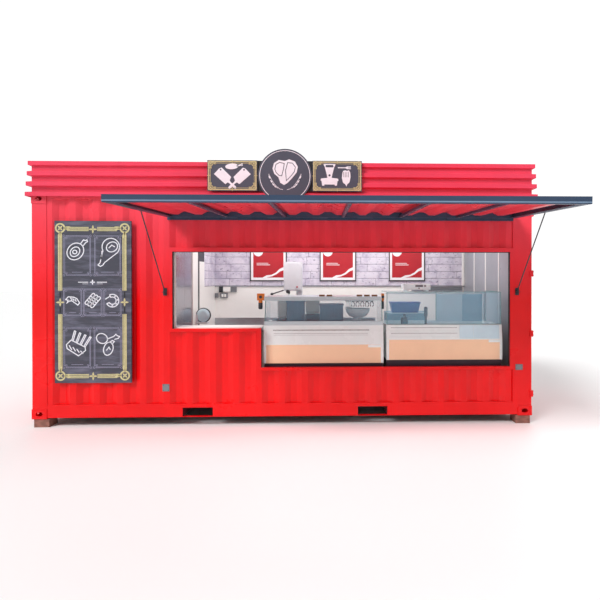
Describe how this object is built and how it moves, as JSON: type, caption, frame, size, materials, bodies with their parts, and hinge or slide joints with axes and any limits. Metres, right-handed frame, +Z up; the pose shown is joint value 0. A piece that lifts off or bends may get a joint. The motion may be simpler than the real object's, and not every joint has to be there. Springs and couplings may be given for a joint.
{
  "type": "container butcher shop",
  "caption": "Steel shipping container made into a butcher shop, with a stepped serving hatch under a hinged flap awning, display cases inside and a ribbed parapet with blank signs.",
  "frame": {"origin": "centre of the footprint of the whole object, with the awning open, on the level it stands on", "axes": "+X along the long side towards the cargo doors, +Y from the serving hatch to the rear wall, +Z up"},
  "size_m": [6.152, 4.3482, 3.337],
  "materials": {
    "block_timber": "sawn softwood",
    "casting_red": "cast steel painted red",
    "rail_red": "gloss red",
    "container_red": "gloss red enamel on corrugated steel",
    "frame_red": "gloss red enamel",
    "parapet_red": "coil-coated gloss red",
    "underframe_paint": "dark red primer",
    "deck_plywood": "sealed plywood",
    "galvanised_gear": "galvanised steel",
    "sign_back_black": "satin black",
    "sign_charcoal": "satin charcoal",
    "chalkboard": "matt chalkboard laminate",
    "flap_steel": "blue-grey satin paint",
    "flap_red": "gloss red",
    "dark_fittings": "dark grey paint",
    "grey_plate": "grey paint",
    "partition_white": "white wall cladding",
    "lining_grey": "pale grey wall cladding",
    "lining_white": "white wall cladding",
    "stone_panel": "printed stone panel",
    "poster_print": "printed board",
    "stainless": "brushed stainless",
    "shelf_white": "white laminate",
    "plinth_dark": "dark kick board",
    "case_peach": "peach enamel",
    "case_white": "white enamel",
    "case_glass": "tempered glass",
    "clamp_orange": "orange plastic",
    "machine_white": "white enamel",
    "scale_white": "white plastic"
  },
  "bodies": {
    "container": {"timber_blocks": "block_timber", "corner_castings": "casting_red", "bottom_side_rails": "rail_red", "end_rails": "rail_red", "floor_frame": "underframe_paint", "floor_deck": "deck_plywood", "corner_posts": "container_red", "top_side_rails": "rail_red", "roof_panel": "container_red", "front_wall_left": "container_red", "front_wall_under_window": "container_red", "front_wall_under_counter": "container_red", "front_wall_over_hatch": "container_red", "rear_wall": "container_red", "left_end_wall": "container_red", "cargo_doors": "container_red", "cargo_door_gear": "galvanised_gear", "hatch_uprights": "frame_red", "hatch_rails": "frame_red", "parapet_front": "parapet_red", "parapet_rear": "parapet_red", "parapet_ends": "parapet_red", "parapet_posts": "underframe_paint", "sign_backing": "sign_back_black", "sign_boards": "sign_charcoal", "menu_board": "chalkboard", "flap_header": "flap_steel", "stay_catches": "dark_fittings", "service_plates": "grey_plate", "left_partition": "partition_white", "right_lining": "lining_grey", "ceiling_lining": "lining_white", "rear_lining_stone": "stone_panel", "rear_lining_white": "lining_white", "posters": "poster_print", "rear_worktop": "stainless", "window_shelf": "shelf_white", "case_plinths": "plinth_dark", "case_fronts": "case_peach", "case_tubs": "case_white", "case_glass": "case_glass", "case_canopy": "stainless", "case_clamps": "clamp_orange", "bone_saw": "machine_white", "scale_display": "scale_white"},
    "flap": {"flap_frame": "flap_steel", "flap_skin": "flap_red", "flap_end_fittings": "dark_fittings"},
    "stay_left": {"stay_left": "dark_fittings"},
    "stay_right": {"stay_right": "dark_fittings"}
  },
  "joints": [
    {"name": "flap_hinge", "type": "hinge", "parent": "container", "child": "flap", "pos_m": [0.696, -0.33694, 2.521], "axis": [1, 0, 0], "range_deg": [0, 87.44]},
    {"name": "stay_left_pivot", "type": "hinge", "parent": "flap", "child": "stay_left", "pos_m": [-1.4485, -1.13104, 2.50552], "axis": [1, 0, 0], "range_deg": [-130.52, 0]},
    {"name": "stay_right_pivot", "type": "hinge", "parent": "flap", "child": "stay_right", "pos_m": [2.8405, -1.13104, 2.50552], "axis": [1, 0, 0], "range_deg": [-130.52, 0]}
  ],
  "couplings": [
    {"joint": "stay_left_pivot", "follows": "flap_hinge", "ratio": -1.4926},
    {"joint": "stay_right_pivot", "follows": "flap_hinge", "ratio": -1.4926}
  ]
}
